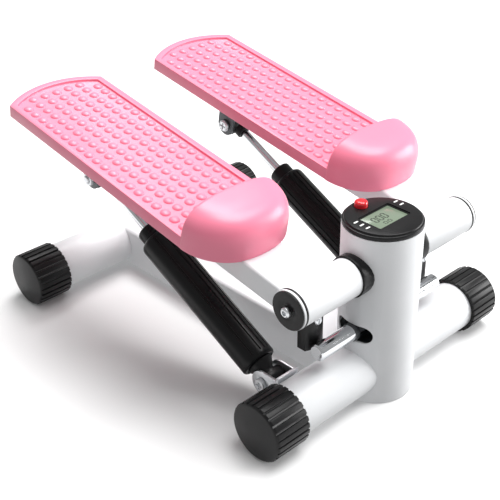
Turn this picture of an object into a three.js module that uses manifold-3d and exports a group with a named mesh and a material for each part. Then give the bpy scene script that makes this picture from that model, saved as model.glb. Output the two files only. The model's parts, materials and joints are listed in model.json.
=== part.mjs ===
// Mini air stepper: two linked pedals on a twin cross-tube frame, with a console on its column.
// Millimetres, +Z up. The user stands on the pedals facing -Y, so the user's right side is -X.
// Parts are laid out from the column's axis on the floor, then the whole is centred on its box.
import * as THREE from 'three';
import { mergeVertices } from 'three/addons/utils/BufferGeometryUtils.js';
import Module from 'manifold-3d';

const wasm = await Module();
wasm.setup();

// ---- driving dimensions -------------------------------------------------------------------

const WELD_GAP = 0.3;            // gap between pieces that touch or are welded
const RUN_GAP = 0.3;             // radial clearance where one piece turns or slides in another

// Facets round a large, a middling and a small circle
const LARGE = 36;
const MIDDLE = 24;
const SMALL = 12;
const CUT_REACH = 60;            // half length of a cutter that goes right through a piece

// Cross tubes and their rubber end caps
const TUBE_R = 25.5;
const TUBE_WALL = 2;
const CAP_WALL = 3.9;            // cap's outside beyond the tube's
const CAP_R = TUBE_R + CAP_WALL;
const CAP_LENGTH = 40;
const CAP_END = 5;               // thickness of the cap's closed end
const CAP_RIBS = 32;
const CAP_GROOVE_DEPTH = 1.7;
const CAP_GROOVE_SHARE = 0.34;   // share of a rib's pitch taken by its groove
const FRONT_HALF_WIDTH = 162.7;
const REAR_HALF_WIDTH = 165.9;
const BASE_LENGTH = 358.1;       // front cross tube's axis to rear cross tube's axis

// Spine beam between the cross tubes
const SPINE_WIDTH = 79;
const SPINE_HEIGHT = 47;
const SPINE_DROP = 1.4;          // spine's centre below the cross tubes' axes
const SPINE_CORNER_R = 4;
const SPINE_WALL = 2;

// Column
const COLUMN_R = 37.7;
const COLUMN_WALL = 2;
const COLUMN_BOTTOM = 0.8;
const COLUMN_TOP = 178.7;

// Pedal axle and sleeves
const PIVOT_Z = 139.9;
const AXLE_R = 8;
const SLEEVE_R = 18.85;
const SLEEVE_WALL = 2;
const BUSH_WIDTH = 8.8;          // sleeve's inner end from the column's side
const SLEEVE_INNER_X = COLUMN_R + BUSH_WIDTH;
const SLEEVE_OUTER_X = 120.6;
const SEAL_GROOVE_X = SLEEVE_OUTER_X - 3.6;  // ring groove near the sleeve's outer end
const SEAL_GROOVE_WIDTH = 1.1;
const SEAL_GROOVE_DEPTH = 0.8;
const END_CAP_R = SLEEVE_R - 0.45;
const END_CAP_THICK = 1.5;
const END_HUB_LENGTH = 13;
const AXLE_INSET = 3.5;          // axle end below the sleeve's end
const AXLE_SCREW_R = 3;
const AXLE_SCREW_HEAD_R = 5;
const AXLE_SCREW_HEAD = 4.5;
const AXLE_SCREW_LENGTH = 18;
const AXLE_SCREW_SOCKET_R = 2.6;
const AXLE_SCREW_SOCKET_DEPTH = 2.5;
const BUSH_FLANGE_R = SLEEVE_R + 1.55;
const BUSH_SPIGOT = 14;

// Pedals: x across, s along the pedal from the axle, n above the pedal's own centre plane
const PEDAL_X = 94.2;
const PEDAL_TILT = 10;           // degrees, rear end up, at rest
const PEDAL_WIDTH = 114.2;
const PEDAL_TOP_N = 24.7;
const PEDAL_DEPTH = 12.7;        // height of the tread's skirt
const PEDAL_CORNER_S = 375;      // where the straight sides end
const PEDAL_BULGE = 19;          // how far the rear arc goes past the corners
const RIM_WIDTH = 7;
const RIM_HEIGHT = 2.4;
const DECK_THICK = 3.8;
const SKIRT_WALL = 3;
const RIB_THICK = 3;
const RIB_ROWS = 5;
const RIB_HALF_SPACING = 18;     // the two lengthwise ribs stand this far either side of centre
const TOE_S = 107.5;             // crest of the toe cap's dome
const TOE_FRONT = 49.1;          // dome ahead of the crest
const TOE_BACK = 9;              // and behind it
const TOE_BASE_N = 24;
const TOE_HEIGHT = 28;           // dome above TOE_BASE_N
const TOE_ACROSS_POWER = 0.84;   // 1 is an ellipse, below 1 squarer
const TOE_ALONG_POWER = 1.05;
const TOE_SHOULDER_POWER = 5.6;  // 2 is an ellipse, above 2 flatter on top
const TOE_RISE_POWER = 0.42;
const TOE_WALL = 4;
const TOE_FACETS = 30;

// Pedal arm: a flat box tube through the axle's height
const ARM_WIDTH = 49;
const ARM_HEIGHT = 25;
const ARM_WALL = 2;
const ARM_END_S = 330;
const ARM_CORNER_R = 3;

// Rocker bar that links the pedals, turning on an upright pin inside the column
const ROCKER_RISE = 22.1;        // rocker bar's axis above the front cross tube's top
const ROCKER_Z = CAP_R + TUBE_R + ROCKER_RISE;
const ROCKER_R = 7;
const ROCKER_HALF_LENGTH = 86;
const ROCKER_HUB_R = 13;
const ROCKER_HUB_HEIGHT = 24;
const ROCKER_PIN_R = 4;
const ROCKER_PIN_HEAD_R = 7;
const ROCKER_PIN_HEAD = 3.5;
const SHELF_THICK = 4;
const SLOT_HALF_WIDTH = 20;
const SLOT_GAP = 1;              // slot edge to the rocker bar, above and below

// Strikers under the sleeves
const STRIKER_X = 76;
const STRIKER_WIDTH = 24;
const STRIKER_GAP = 0.9;         // to the back of the rocker bar at rest
const STRIKER_FACE_Y = ROCKER_R + STRIKER_GAP;
const STRIKER_PROUD = 2.05;      // striker's back behind the sleeve's back
const STRIKER_DEPTH = SLEEVE_R + STRIKER_PROUD - STRIKER_FACE_Y;
const STRIKER_BOTTOM_Z = ROCKER_Z - 3;
const STRIKER_TOP_Z = ROCKER_Z + 34;
const STRIKER_CROWN = 3.5;       // how far the striking face's sides fall back
const LUG_THICK = 4;
const LUG_SIDE = 3;              // rubber at each side of the lug
const LUG_TOE = 6;               // rubber below the lug
const STRIKER_SCREW_Z = ROCKER_Z + 27.5;
const STRIKER_SCREW_R = 2.5;
const STRIKER_SCREW_HEAD_R = 4.4;
const STRIKER_SCREW_HEAD = 2.8;

// Cylinders: t along the cylinder's axis from its lower bolt
const LOWER_BOLT_BEHIND = TUBE_R + 21.5;     // behind the front cross tube's axis
const LOWER_BOLT_Z = CAP_R - 1.9;
const ROD_PIVOT_S = 296;         // rod eye's bolt, in the pedal's own s and n
const ROD_PIVOT_N = -36;
const COVER_R = 18.3;
const COVER_WALL = 2.8;
const COVER_START_T = 19;
const COVER_LENGTH = 167;
const COVER_FLUTES = 14;
const COVER_FLUTE_DEPTH = 1;
const CYLINDER_WALL = 1.8;
const GLAND_CLEARANCE = 0.8;     // gland inside the cylinder's bore
const GLAND_PROUD = 14;
const GLAND_INSET = 14;
const ROD_R = 5;
const PISTON_T = 62;
const PISTON_LENGTH = 8;
const EYE_HALF_LENGTH = 10.5;
const LOWER_EYE_R = 9;
const UPPER_EYE_R = 12.5;
const EYE_SOCKET_R = 8;
const EYE_SOCKET_LENGTH = 18;
const OPEN_PIVOT_GAP = 3;        // play of the rod eye on its bolt
const BOLT_R = 4;
const BOLT_HEAD_R = 7;
const BOLT_HEAD = 4.2;
const NUT_THICK = 5;
const NUT_FLATS = 13;
const DRIVE_WIDTH = 1.6;         // cross recess in a bolt's head
const DRIVE_LENGTH = 8;
const DRIVE_DEPTH = 1.5;

// Sheet brackets that hold the cylinder's two ends
const EAR_THICK = 2.5;
const EAR_SIDE_GAP = 0.5;
const CLEVIS_EAR_R = 13.5;
const CLEVIS_BASE_HEIGHT = 34;
const BRACKET_EAR_R = 12;
const BRACKET_BASE_LENGTH = 34;

// Console
const CONSOLE_RIM_R = COLUMN_R - 0.3;
const CONSOLE_RIM_HEIGHT = 4;
const CONSOLE_TOP_R = COLUMN_R - 1.9;
const CONSOLE_TOP_STEP = 2;
const CONSOLE_PLATE = 3.4;
const CONSOLE_SKIRT = 20;        // skirt inside the column
const CONSOLE_WALL = 1.5;
const LCD_WIDTH = 39;
const LCD_DEPTH = 26.5;
const LCD_RECESS = 1.3;
const LENS_THICK = 1.2;
const LENS_LEDGE = 1.5;
const LCD_PANEL_THICK = 2;
const BOARD_THICK = 1.6;
const BOARD_DROP = 11;           // board below the console's plate
const COIN_R = 10;
const COIN_THICK = 3.2;
const TRAY_THICK = 2;
const BUTTON_R = 6.4;
const BUTTON_Y = CONSOLE_TOP_R - 3 - BUTTON_R;
const BUTTON_HEIGHT = 5.5;
const BUTTON_FLANGE = 0.8;
const BUTTON_FLANGE_THICK = 1.2;
const BUTTON_TRAVEL = 1.2;
const BUTTON_STEM_R = 2.5;
const SWITCH_SIZE = 5;

// ---- materials ----------------------------------------------------------------------------

function paint(color, roughness, metalness) {
  return () => new THREE.MeshStandardMaterial({ color, roughness, metalness });
}

const whitePaint = paint('#f1f2f3', 0.5, 0.1);
const pinkPlastic = paint('#f5a3b8', 0.45, 0);
const blackPlastic = paint('#232425', 0.45, 0);
const blackRubber = paint('#1b1b1c', 0.8, 0);
const zincSteel = paint('#b4b6b9', 0.35, 0.9);
const chrome = paint('#d9dadc', 0.12, 1);
const greySteel = paint('#5a5d60', 0.5, 0.8);
const redPlastic = paint('#d8222a', 0.35, 0);
const lensPlastic = paint('#aab3a4', 0.1, 0);
const displayGlass = paint('#97a293', 0.3, 0);
const boardGreen = paint('#1f5a38', 0.6, 0);

// ---- solids -------------------------------------------------------------------------------

// Closed geometry to a solid with its faces pointing out.
function solid(geometry) {
  const bare = geometry.index ? geometry.toNonIndexed() : geometry.clone();
  bare.deleteAttribute('normal');
  bare.deleteAttribute('uv');
  const merged = mergeVertices(bare, 1e-4);
  const points = merged.attributes.position.array;
  const corners = Array.from(merged.index.array);
  const triangles = [];
  let volume = 0;
  for (let i = 0; i < corners.length; i += 3) {
    const [a, b, c] = corners.slice(i, i + 3);
    if (a === b || b === c || c === a) continue;
    triangles.push(a, b, c);
    const [pa, pb, pc] = [a, b, c].map((k) => new THREE.Vector3().fromArray(points, 3 * k));
    volume += pa.dot(pb.cross(pc));
  }
  if (volume < 0) triangles.reverse();
  return new wasm.Manifold(new wasm.Mesh({
    numProp: 3,
    vertProperties: Float32Array.from(points),
    triVerts: Uint32Array.from(triangles),
  }));
}

function toGeometry(manifold) {
  const mesh = manifold.getMesh();
  const geometry = new THREE.BufferGeometry();
  geometry.setAttribute('position', new THREE.BufferAttribute(Float32Array.from(mesh.vertProperties), 3));
  geometry.setIndex(new THREE.BufferAttribute(Uint32Array.from(mesh.triVerts), 1));
  geometry.computeVertexNormals();
  return geometry;
}

function part(name, manifold, material) {
  const mesh = new THREE.Mesh(toGeometry(manifold), material());
  mesh.name = name;
  return mesh;
}

// Basis that turns a geometry's own X, Y and Z into directions of the model, by the axis Z goes to.
const TURN = {
  x: new THREE.Matrix4().makeBasis(
    new THREE.Vector3(0, 1, 0), new THREE.Vector3(0, 0, 1), new THREE.Vector3(1, 0, 0)),
  y: new THREE.Matrix4().makeBasis(
    new THREE.Vector3(0, 0, 1), new THREE.Vector3(1, 0, 0), new THREE.Vector3(0, 1, 0)),
  z: new THREE.Matrix4(),
};

// Prism of a flat shape along an axis. The shape's X and Y are y,z on x; z,x on y; x,y on z.
function prism(shape, axis, from, to, curveSegments = 8) {
  const geometry = new THREE.ExtrudeGeometry(shape, { depth: to - from, bevelEnabled: false, curveSegments });
  geometry.translate(0, 0, from);
  return solid(geometry.applyMatrix4(TURN[axis]));
}

// Turned piece from [radius, place along the axis] pairs; it closes on the axis or on itself.
function turned(profile, axis, sides = MIDDLE) {
  const points = profile.map(([radius, along]) => new THREE.Vector2(radius, along));
  if (profile[0][0] > 0) points.push(points[0].clone());
  const geometry = new THREE.LatheGeometry(points, sides);
  geometry.rotateX(Math.PI / 2);
  return solid(geometry.applyMatrix4(TURN[axis]));
}

// Round bar along an axis, between two places on it.
function bar(radius, axis, from, to, sides = MIDDLE) {
  return turned([[0, from], [radius, from], [radius, to], [0, to]], axis, sides);
}

function tube(outer, inner, axis, from, to, sides = MIDDLE) {
  return turned([[inner, from], [outer, from], [outer, to], [inner, to]], axis, sides);
}

function block(width, depth, height, x, y, z) {
  const geometry = new THREE.BoxGeometry(width, depth, height);
  return solid(geometry.translate(x, y, z));
}

function roundedRect(width, height, radius) {
  const [w, h] = [width / 2, height / 2];
  const shape = new THREE.Shape();
  shape.moveTo(-w + radius, -h);
  shape.lineTo(w - radius, -h);
  shape.absarc(w - radius, -h + radius, radius, -Math.PI / 2, 0);
  shape.lineTo(w, h - radius);
  shape.absarc(w - radius, h - radius, radius, 0, Math.PI / 2);
  shape.lineTo(-w + radius, h);
  shape.absarc(-w + radius, h - radius, radius, Math.PI / 2, Math.PI);
  shape.lineTo(-w, -h + radius);
  shape.absarc(-w + radius, -h + radius, radius, Math.PI, 1.5 * Math.PI);
  return shape;
}

// Hexagon prism across the flats, with a bore.
function nut(acrossFlats, bore, axis, from, to) {
  const hexagon = bar(acrossFlats / 2 / Math.cos(Math.PI / 6), axis, from, to, 6);
  return hexagon.subtract(bar(bore, axis, from - 1, to + 1, SMALL));
}

// ---- base frame ---------------------------------------------------------------------------

const CROSS_Z = CAP_R;
const REAR_TUBE_END = REAR_HALF_WIDTH - CAP_END - WELD_GAP;
const FRONT_TUBE_END = FRONT_HALF_WIDTH - CAP_END - WELD_GAP;

function crossTube(name, halfLength) {
  const pipe = tube(TUBE_R, TUBE_R - TUBE_WALL, 'x', -halfLength, halfLength);
  return part(name, pipe, whitePaint);
}

// A crest is a flat facet, so the cap stands on the floor on one of them.
function ribbedOutline(radius) {
  const shape = new THREE.Shape();
  const pitch = 2 * Math.PI / CAP_RIBS;
  const halfCrest = pitch * (1 - CAP_GROOVE_SHARE) / 2;
  const halfFloor = pitch * CAP_GROOVE_SHARE * 0.3;
  const crestR = radius / Math.cos(halfCrest);
  const floorR = radius - CAP_GROOVE_DEPTH;
  for (let i = 0; i < CAP_RIBS; i += 1) {
    const crest = i * pitch;
    const groove = crest + pitch / 2;
    const corners = [
      [crestR, crest - halfCrest], [crestR, crest + halfCrest],
      [floorR, groove - halfFloor], [floorR, groove + halfFloor],
    ];
    for (const [r, angle] of corners) {
      const [x, y] = [r * Math.cos(angle), r * Math.sin(angle)];
      if (shape.curves.length || shape.currentPoint.length()) shape.lineTo(x, y);
      else shape.moveTo(x, y);
    }
  }
  return shape;
}

function footCap(name, outerX, side) {
  const outline = prism(ribbedOutline(CAP_R), 'x', outerX - CAP_LENGTH, outerX);
  const socket = bar(TUBE_R + WELD_GAP, 'x', outerX - CAP_LENGTH - 1, outerX - CAP_END);
  const mesh = part(name, outline.subtract(socket), blackRubber);
  if (side < 0) mesh.rotation.z = Math.PI;
  return mesh;
}

function crossAssembly(end, y, halfWidth, halfLength) {
  const group = new THREE.Group();
  group.position.set(0, y, CROSS_Z);
  group.add(crossTube(`${end}_cross_tube`, halfLength));
  group.add(footCap(`${end}_foot_cap_right`, halfWidth, -1));
  group.add(footCap(`${end}_foot_cap_left`, halfWidth, 1));
  return group;
}

// Box tube from the front cross tube and column back to the rear cross tube, saddle-cut to them.
function spineBeam() {
  const centreZ = CROSS_Z - SPINE_DROP;
  const outline = roundedRect(SPINE_HEIGHT, SPINE_WIDTH, SPINE_CORNER_R);
  const bore = roundedRect(
    SPINE_HEIGHT - 2 * SPINE_WALL, SPINE_WIDTH - 2 * SPINE_WALL, SPINE_CORNER_R - SPINE_WALL);
  const outer = prism(outline, 'y', SPINE_WIDTH / 4, BASE_LENGTH, 3).translate([0, 0, centreZ]);
  const inner = prism(bore, 'y', -1, BASE_LENGTH + 1, 3).translate([0, 0, centreZ]);
  const front = bar(TUBE_R + WELD_GAP, 'x', -SPINE_WIDTH, SPINE_WIDTH).translate([0, 0, CROSS_Z]);
  const rear = front.translate([0, BASE_LENGTH, 0]);
  const column = bar(COLUMN_R + WELD_GAP, 'z', 0, COLUMN_TOP, LARGE);
  const underTube = block(2 * SPINE_WIDTH, 2 * TUBE_R, 2 * CROSS_Z, 0, 0, 0);
  const box = outer.subtract(inner).subtract(underTube);
  return part('spine_beam', box.subtract(front).subtract(rear).subtract(column), whitePaint);
}

function stadium(halfWidth, halfHeight) {
  const shape = new THREE.Shape();
  const run = halfWidth - halfHeight;
  shape.absarc(run, 0, halfHeight, -Math.PI / 2, Math.PI / 2);
  shape.absarc(-run, 0, halfHeight, Math.PI / 2, 1.5 * Math.PI);
  return shape;
}

function columnTube() {
  const pipe = tube(COLUMN_R, COLUMN_R - COLUMN_WALL, 'z', COLUMN_BOTTOM, COLUMN_TOP, LARGE);
  const reach = COLUMN_R + 5;
  const crossHole = bar(TUBE_R + WELD_GAP, 'x', -reach, reach).translate([0, 0, CROSS_Z]);
  const axleHole = bar(AXLE_R + WELD_GAP, 'x', -reach, reach).translate([0, 0, PIVOT_Z]);
  const slot = prism(stadium(SLOT_HALF_WIDTH, ROCKER_R + SLOT_GAP), 'x', -reach, reach, 10);
  return part('column_tube',
    pipe.subtract(crossHole).subtract(axleHole).subtract(slot.translate([0, 0, ROCKER_Z])), whitePaint);
}

// ---- axle ---------------------------------------------------------------------------------

const AXLE_END = SLEEVE_OUTER_X - AXLE_INSET;
const END_CAP_INNER = SLEEVE_OUTER_X + WELD_GAP;
const END_CAP_OUTER = END_CAP_INNER + END_CAP_THICK;

function axleShaft() {
  const hole = bar(AXLE_SCREW_R + WELD_GAP, 'x', AXLE_END - AXLE_SCREW_LENGTH, AXLE_END + 1, SMALL);
  const shaft = bar(AXLE_R, 'x', -AXLE_END, AXLE_END);
  return part('axle_shaft', shaft.subtract(hole).subtract(hole.mirror([1, 0, 0])), zincSteel);
}

function axleEnd(sideName) {
  const group = new THREE.Group();
  const hubR = SLEEVE_R - SLEEVE_WALL - RUN_GAP;
  const hubStart = END_CAP_INNER - END_HUB_LENGTH;
  const cap = turned([
    [0, hubStart], [hubR, hubStart], [hubR, END_CAP_INNER], [END_CAP_R, END_CAP_INNER],
    [END_CAP_R, END_CAP_OUTER - 0.6], [END_CAP_R - 0.6, END_CAP_OUTER], [0, END_CAP_OUTER],
  ], 'x');
  const bore = bar(AXLE_R + WELD_GAP, 'x', hubStart - 1, AXLE_END + WELD_GAP);
  const screwHole = bar(AXLE_SCREW_R + WELD_GAP, 'x', hubStart, END_CAP_OUTER + 1, SMALL);
  group.add(part(`axle_end_cap_${sideName}`, cap.subtract(bore).subtract(screwHole), blackPlastic));
  const seat = END_CAP_OUTER + WELD_GAP;
  const screw = turned([
    [0, AXLE_END - AXLE_SCREW_LENGTH + 2], [AXLE_SCREW_R, AXLE_END - AXLE_SCREW_LENGTH + 2],
    [AXLE_SCREW_R, seat], [AXLE_SCREW_HEAD_R, seat],
    [AXLE_SCREW_HEAD_R, seat + AXLE_SCREW_HEAD - 1.5],
    [AXLE_SCREW_HEAD_R - 1.5, seat + AXLE_SCREW_HEAD], [0, seat + AXLE_SCREW_HEAD],
  ], 'x', SMALL);
  const headEnd = seat + AXLE_SCREW_HEAD;
  const socket = bar(AXLE_SCREW_SOCKET_R, 'x', headEnd - AXLE_SCREW_SOCKET_DEPTH, headEnd + 1, 6);
  group.add(part(`axle_screw_${sideName}`, screw.subtract(socket), zincSteel));
  return group;
}

// ---- pedal --------------------------------------------------------------------------------

// Signed power, for superellipse curves.
function power(value, exponent) {
  return Math.sign(value) * Math.abs(value) ** exponent;
}

// Tread outline: superellipse toe, straight sides and an arc across the rear.
function treadOutline(inset) {
  const half = PEDAL_WIDTH / 2 - inset;
  const length = TOE_FRONT - inset;
  const corner = PEDAL_CORNER_S - inset;
  const shape = new THREE.Shape();
  const steps = TOE_FACETS / 2 + 1;
  shape.moveTo(half, corner);
  const bulgeR = (half ** 2 + PEDAL_BULGE ** 2) / (2 * PEDAL_BULGE);
  const centre = corner + PEDAL_BULGE - bulgeR;
  const sweep = Math.asin(half / bulgeR);
  shape.absarc(0, centre, bulgeR, Math.PI / 2 - sweep, Math.PI / 2 + sweep);
  for (let i = 0; i <= steps; i += 1) {
    const angle = Math.PI + Math.PI * i / steps;
    const x = half * power(Math.cos(angle), TOE_ACROSS_POWER);
    const s = TOE_S + length * power(Math.sin(angle), TOE_ALONG_POWER);
    shape.lineTo(x, s);
  }
  return shape;
}

// Dome of the toe cap, a sphere drawn out flatter on top and steeper behind its crest.
function toeDome(shrink) {
  const geometry = new THREE.SphereGeometry(1, TOE_FACETS, TOE_FACETS / 2);
  const place = geometry.attributes.position;
  for (let i = 0; i < place.count; i += 1) {
    const rise = Math.asin(THREE.MathUtils.clamp(place.getY(i), -1, 1));
    const around = Math.atan2(place.getZ(i), place.getX(i));
    const flat = Math.max(0, Math.cos(rise));
    const high = (1 - flat ** TOE_SHOULDER_POWER) ** TOE_RISE_POWER;
    const length = Math.sin(around) > 0 ? TOE_BACK : TOE_FRONT;
    place.setXYZ(i,
      (PEDAL_WIDTH / 2 - shrink) * flat * power(Math.cos(around), TOE_ACROSS_POWER),
      (length - shrink) * flat * power(Math.sin(around), TOE_ALONG_POWER),
      (TOE_HEIGHT - shrink) * Math.sign(rise) * high);
  }
  return solid(geometry).translate([0, TOE_S, TOE_BASE_N]);
}

function pedalTread(name) {
  const bottom = PEDAL_TOP_N - PEDAL_DEPTH;
  const deckTop = PEDAL_TOP_N - RIM_HEIGHT;
  const deckUnder = deckTop - DECK_THICK;
  const ribBottom = ARM_HEIGHT / 2 + WELD_GAP;
  const plate = prism(treadOutline(0), 'z', bottom, PEDAL_TOP_N);
  const tray = prism(treadOutline(RIM_WIDTH), 'z', deckTop, PEDAL_TOP_N + 1);
  const above = block(2 * PEDAL_WIDTH, 4 * TOE_FRONT, 2 * TOE_HEIGHT, 0, TOE_S, bottom + TOE_HEIGHT);
  const dome = toeDome(0).intersect(above);
  const pocket = prism(treadOutline(SKIRT_WALL), 'z', bottom - 1, deckUnder);
  const pocketStart = TOE_S + TOE_BACK + 8;
  const pocketEnd = PEDAL_CORNER_S + PEDAL_BULGE;
  const pitch = (pocketEnd - pocketStart) / (RIB_ROWS + 1);
  const ribHeight = deckUnder - ribBottom;
  const ribZ = (deckUnder + ribBottom) / 2;
  let hollow = pocket;
  for (let i = 0; i <= RIB_ROWS; i += 1) {
    hollow = hollow.subtract(
      block(PEDAL_WIDTH, RIB_THICK, ribHeight, 0, pocketStart + i * pitch, ribZ));
  }
  for (const side of [-1, 1]) {
    hollow = hollow.subtract(block(
      RIB_THICK, pocketEnd - pocketStart, ribHeight,
      side * RIB_HALF_SPACING, (pocketStart + pocketEnd) / 2, ribZ));
  }
  const armWay = block(
    ARM_WIDTH + 2 * WELD_GAP, ARM_END_S, ARM_HEIGHT + 2 * WELD_GAP, 0, ARM_END_S / 2 + WELD_GAP, 0);
  const shell = plate.subtract(tray).add(dome).subtract(hollow).subtract(toeDome(TOE_WALL));
  return part(name, shell.subtract(armWay), pinkPlastic);
}

function pedalArm(name) {
  const outline = roundedRect(ARM_HEIGHT, ARM_WIDTH, ARM_CORNER_R);
  const bore = roundedRect(ARM_HEIGHT - 2 * ARM_WALL, ARM_WIDTH - 2 * ARM_WALL, ARM_CORNER_R - ARM_WALL);
  const start = Math.sqrt(SLEEVE_R ** 2 - (ARM_HEIGHT / 2) ** 2) - 2;
  const outer = prism(outline, 'y', start, ARM_END_S, 3);
  const inner = prism(bore, 'y', start - 1, ARM_END_S - ARM_WALL, 3);
  const saddle = bar(SLEEVE_R + WELD_GAP, 'x', -ARM_WIDTH, ARM_WIDTH);
  return part(name, outer.subtract(inner).subtract(saddle), whitePaint);
}

// Height of a place in the world, seen from the axle.
function belowAxle(z) {
  return z - PIVOT_Z;
}

// Sleeve with its groove and the lug that carries the striker. The lug is upright at rest.
function pivotSleeve(name, side) {
  const pipe = turned([
    [SLEEVE_R - SLEEVE_WALL, SLEEVE_INNER_X], [SLEEVE_R, SLEEVE_INNER_X],
    [SLEEVE_R, SEAL_GROOVE_X], [SLEEVE_R - SEAL_GROOVE_DEPTH, SEAL_GROOVE_X],
    [SLEEVE_R - SEAL_GROOVE_DEPTH, SEAL_GROOVE_X + SEAL_GROOVE_WIDTH],
    [SLEEVE_R, SEAL_GROOVE_X + SEAL_GROOVE_WIDTH],
    [SLEEVE_R, SLEEVE_OUTER_X], [SLEEVE_R - SLEEVE_WALL, SLEEVE_OUTER_X],
  ], 'x');
  const lugY = STRIKER_FACE_Y + STRIKER_DEPTH / 2;
  const lugBottom = STRIKER_BOTTOM_Z + LUG_TOE;
  const height = PIVOT_Z - lugBottom;
  const lugWidth = STRIKER_WIDTH - 2 * LUG_SIDE;
  const plate = block(
    lugWidth, LUG_THICK, height, STRIKER_X, lugY, belowAxle(lugBottom) + height / 2);
  const screwHole = bar(STRIKER_SCREW_R + WELD_GAP, 'y', 0, lugY + STRIKER_DEPTH, SMALL);
  const lug = plate.subtract(screwHole.translate([STRIKER_X, 0, belowAxle(STRIKER_SCREW_Z)]));
  const inside = bar(SLEEVE_R - 0.5, 'x', 0, SLEEVE_OUTER_X + 1);
  const armSpace = block(2 * ARM_WIDTH, ARM_END_S, ARM_HEIGHT + 2 * WELD_GAP, PEDAL_X, ARM_END_S / 2, 0);
  const whole = pipe.add(lug.subtract(inside).subtract(armSpace.rotate([PEDAL_TILT, 0, 0])));
  return part(name, side < 0 ? whole.mirror([1, 0, 0]) : whole, whitePaint);
}

// Rubber boot over the lug; its striking face is crowned so that it meets the rocker at its middle.
function striker(name) {
  const half = STRIKER_WIDTH / 2;
  const shape = new THREE.Shape();
  shape.moveTo(-half, STRIKER_DEPTH);
  shape.lineTo(-half, STRIKER_CROWN);
  shape.quadraticCurveTo(0, -STRIKER_CROWN, half, STRIKER_CROWN);
  shape.lineTo(half, STRIKER_DEPTH);
  const boot = prism(shape, 'z', belowAxle(STRIKER_BOTTOM_Z), belowAxle(STRIKER_TOP_Z), 10);
  const lugBottom = belowAxle(STRIKER_BOTTOM_Z + LUG_TOE) - WELD_GAP;
  const pocket = block(
    STRIKER_WIDTH - 2 * LUG_SIDE + 2 * WELD_GAP, LUG_THICK + 2 * WELD_GAP, STRIKER_TOP_Z,
    0, STRIKER_DEPTH / 2, lugBottom + STRIKER_TOP_Z / 2);
  const screwHole = bar(STRIKER_SCREW_R + WELD_GAP, 'y', -1, STRIKER_DEPTH + 1, SMALL);
  const whole = boot.subtract(pocket)
    .subtract(screwHole.translate([0, 0, belowAxle(STRIKER_SCREW_Z)]))
    .translate([0, STRIKER_FACE_Y, 0])
    .subtract(bar(SLEEVE_R + WELD_GAP, 'x', -STRIKER_WIDTH, STRIKER_WIDTH));
  return part(name, whole, blackRubber);
}

function strikerScrew(name) {
  const seat = STRIKER_FACE_Y - WELD_GAP;
  const end = STRIKER_FACE_Y + STRIKER_DEPTH - 1.5;
  const screw = turned([
    [0, seat - STRIKER_SCREW_HEAD], [STRIKER_SCREW_HEAD_R - 1.4, seat - STRIKER_SCREW_HEAD],
    [STRIKER_SCREW_HEAD_R, seat - STRIKER_SCREW_HEAD + 1.4], [STRIKER_SCREW_HEAD_R, seat],
    [STRIKER_SCREW_R, seat], [STRIKER_SCREW_R, end], [0, end],
  ], 'y', SMALL);
  const drive = block(1.2, 2, 5, 0, seat - STRIKER_SCREW_HEAD, 0);
  return part(name, screw.subtract(drive).translate([0, 0, belowAxle(STRIKER_SCREW_Z)]), zincSteel);
}

// Bush fixed to the column's side; the sleeve turns on its spigot.
function axleBush(name, side) {
  const spigotR = SLEEVE_R - SLEEVE_WALL - RUN_GAP;
  const flangeOuter = SLEEVE_INNER_X - RUN_GAP;
  const bush = turned([
    [AXLE_R + WELD_GAP, 0], [BUSH_FLANGE_R - 1, 0], [BUSH_FLANGE_R, flangeOuter - 2],
    [BUSH_FLANGE_R, flangeOuter], [spigotR, flangeOuter],
    [spigotR, SLEEVE_INNER_X + BUSH_SPIGOT], [AXLE_R + WELD_GAP, SLEEVE_INNER_X + BUSH_SPIGOT],
  ], 'x');
  const column = bar(COLUMN_R + WELD_GAP, 'z', -CUT_REACH, CUT_REACH, LARGE);
  const whole = bush.subtract(column);
  return part(name, side < 0 ? whole.mirror([1, 0, 0]) : whole, blackPlastic);
}

// ---- brackets, bolts and nuts -------------------------------------------------------------

const EAR_INNER = EYE_HALF_LENGTH + EAR_SIDE_GAP;
const EAR_OUTER = EAR_INNER + EAR_THICK;

// Two ears and the base that joins them. The base lies on -Y, and its face is `base` from the bolt.
function earPair(radius, base, baseHeight) {
  const earHole = bar(BOLT_R + WELD_GAP, 'x', -CUT_REACH, CUT_REACH, SMALL);
  const outline = new THREE.Shape();
  outline.moveTo(-base, -radius);
  outline.lineTo(0, -radius);
  outline.absarc(0, 0, radius, -Math.PI / 2, Math.PI / 2);
  outline.lineTo(-base, radius);
  const ears = prism(outline, 'x', -EAR_OUTER, EAR_OUTER, 12);
  const between = block(2 * EAR_INNER, 2 * base, 4 * radius, 0, EAR_THICK, 0);
  const plate = block(2 * EAR_OUTER, EAR_THICK, baseHeight, 0, -base + EAR_THICK / 2, 0);
  return ears.subtract(between).add(plate).subtract(earHole);
}

function bolt(name, side) {
  const seat = EAR_OUTER + WELD_GAP;
  const end = EAR_OUTER + WELD_GAP + NUT_THICK + 2;
  const shank = turned([
    [0, -end], [BOLT_R - 0.5, -end], [BOLT_R, -end + 0.5], [BOLT_R, seat],
    [BOLT_HEAD_R, seat], [BOLT_HEAD_R, seat + BOLT_HEAD - 1.6],
    [BOLT_HEAD_R - 1.6, seat + BOLT_HEAD], [0, seat + BOLT_HEAD],
  ], 'x', SMALL);
  const headEnd = seat + BOLT_HEAD;
  const drive = block(2 * DRIVE_DEPTH, DRIVE_WIDTH, DRIVE_LENGTH, headEnd, 0, 0)
    .add(block(2 * DRIVE_DEPTH, DRIVE_LENGTH, DRIVE_WIDTH, headEnd, 0, 0));
  const whole = shank.subtract(drive);
  return part(name, side < 0 ? whole.mirror([1, 0, 0]) : whole, zincSteel);
}

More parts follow.
